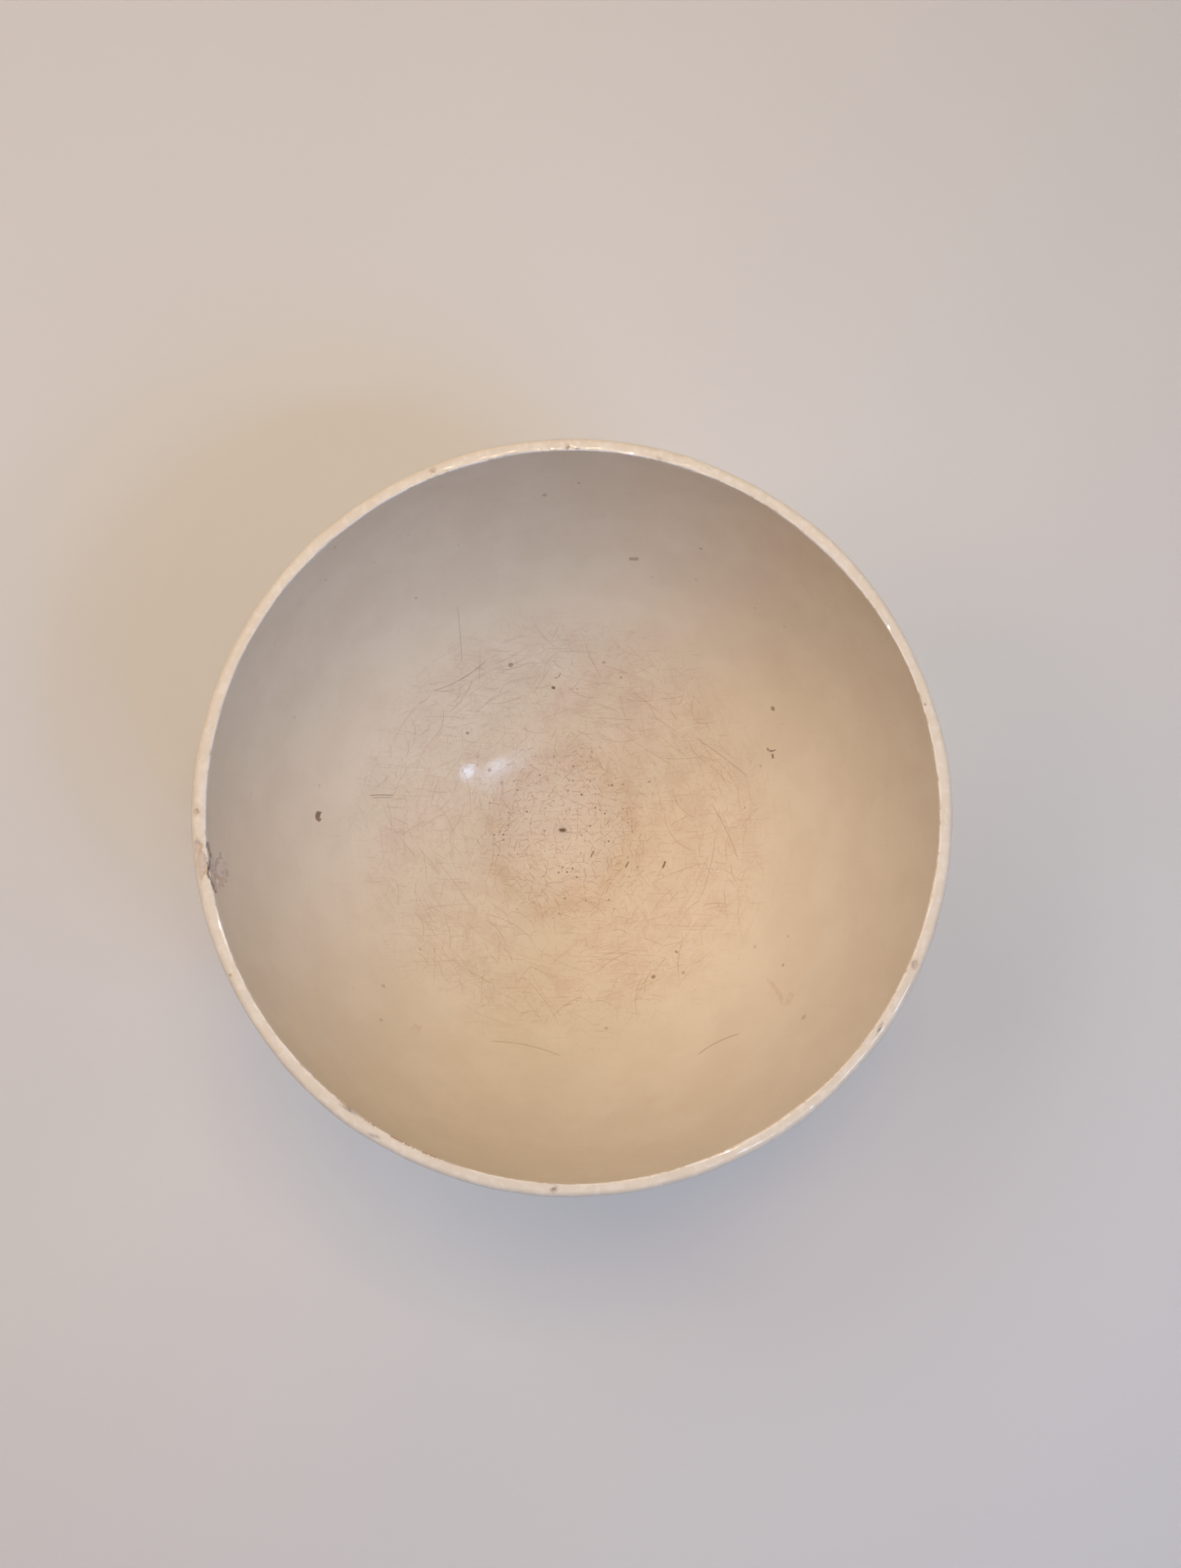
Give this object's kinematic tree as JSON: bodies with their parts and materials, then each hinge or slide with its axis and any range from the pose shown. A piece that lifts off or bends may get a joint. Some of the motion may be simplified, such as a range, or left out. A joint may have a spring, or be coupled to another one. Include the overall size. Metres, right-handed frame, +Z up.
{
  "type": "evaporating dish",
  "caption": "Deep round evaporating dish of cream glazed ceramic, with a plain rounded lip and a small flat base.",
  "frame": {"origin": "centre of the flat base, on the surface the dish stands on", "axes": "+Z up the dish's axis, out of its mouth; +X and +Y across the mouth"},
  "size_m": [0.216, 0.216, 0.13],
  "materials": {
    "glaze": "clear glossy glaze over a cream body, worn and stained inside"
  },
  "bodies": {
    "root": {"dish": "glaze"}
  },
  "joints": []
}
